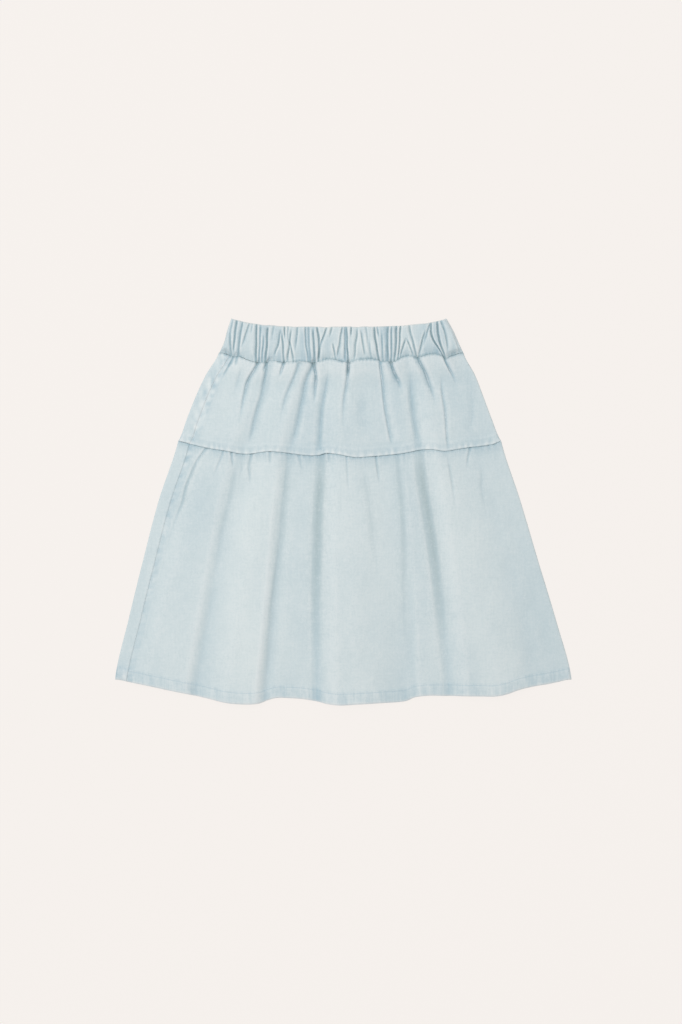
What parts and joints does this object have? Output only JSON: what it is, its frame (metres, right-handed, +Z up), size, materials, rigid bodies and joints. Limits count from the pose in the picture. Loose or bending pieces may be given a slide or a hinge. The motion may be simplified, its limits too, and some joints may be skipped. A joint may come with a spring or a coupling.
{
  "type": "tiered denim skirt",
  "caption": "Two-tier pull-on skirt in pale washed denim with a gathered elastic waistband, laid flat on its back.",
  "frame": {"origin": "middle of the footprint, on the surface that the skirt lies on", "axes": "+Z up, away from that surface; +Y from the hem to the waist; +X across the hem, to the right as the front is looked down on"},
  "size_m": [0.5346, 0.4518, 0.0146],
  "materials": {
    "denim": "pale stone-washed denim, matt",
    "denim_band": "pale stone-washed denim, matt, gathered over elastic"
  },
  "bodies": {
    "root": {"waistband_front": "denim_band", "waistband_back": "denim_band", "upper_tier_front": "denim", "upper_tier_back": "denim", "lower_tier_front": "denim", "lower_tier_back": "denim"}
  },
  "joints": []
}
